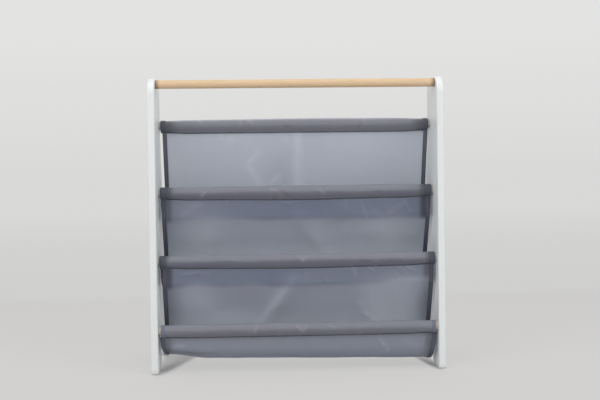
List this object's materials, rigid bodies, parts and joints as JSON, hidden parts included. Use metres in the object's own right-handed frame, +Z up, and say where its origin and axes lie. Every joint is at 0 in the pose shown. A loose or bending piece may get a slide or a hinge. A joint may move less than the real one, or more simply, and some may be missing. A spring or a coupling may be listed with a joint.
{
  "type": "children's sling bookshelf",
  "caption": "Low bookshelf with white side boards, a bare wooden top rail and a grey cloth sling that hangs from round dowels in stepped open pockets for picture books.",
  "frame": {"origin": "on the floor, midway between the two side boards and midway between their front and back edges", "axes": "+X to the right as seen from the front, +Y to the back, +Z up"},
  "size_m": [0.615, 0.28, 0.615],
  "materials": {
    "board_paint": "satin white paint on board",
    "bare_wood": "clear satin lacquer",
    "sling_cloth": "plain woven polyester",
    "sleeve_cloth": "plain woven polyester, doubled",
    "edge_tape": "ribbed binding tape",
    "screw_steel": "zinc plated",
    "cap_plastic": "satin moulded"
  },
  "bodies": {
    "root": {"side_board_left": "board_paint", "side_board_right": "board_paint", "top_rail": "bare_wood", "rail_screw_left": "screw_steel", "rail_cap_left": "cap_plastic", "rail_screw_right": "screw_steel", "rail_cap_right": "cap_plastic", "sling_dowel_1": "bare_wood", "sling_sleeve_1": "sleeve_cloth", "dowel_screw_left_1": "screw_steel", "dowel_cap_left_1": "cap_plastic", "dowel_screw_right_1": "screw_steel", "dowel_cap_right_1": "cap_plastic", "sling_dowel_2": "bare_wood", "sling_sleeve_2": "sleeve_cloth", "dowel_screw_left_2": "screw_steel", "dowel_cap_left_2": "cap_plastic", "dowel_screw_right_2": "screw_steel", "dowel_cap_right_2": "cap_plastic", "sling_dowel_3": "bare_wood", "sling_sleeve_3": "sleeve_cloth", "dowel_screw_left_3": "screw_steel", "dowel_cap_left_3": "cap_plastic", "dowel_screw_right_3": "screw_steel", "dowel_cap_right_3": "cap_plastic", "sling_dowel_4": "bare_wood", "sling_sleeve_4": "sleeve_cloth", "dowel_screw_left_4": "screw_steel", "dowel_cap_left_4": "cap_plastic", "dowel_screw_right_4": "screw_steel", "dowel_cap_right_4": "cap_plastic", "sling_pocket_1": "sling_cloth", "edge_binding_left_1": "edge_tape", "edge_binding_right_1": "edge_tape", "sling_pocket_2": "sling_cloth", "edge_binding_left_2": "edge_tape", "edge_binding_right_2": "edge_tape", "sling_pocket_3": "sling_cloth", "edge_binding_left_3": "edge_tape", "edge_binding_right_3": "edge_tape"}
  },
  "joints": []
}
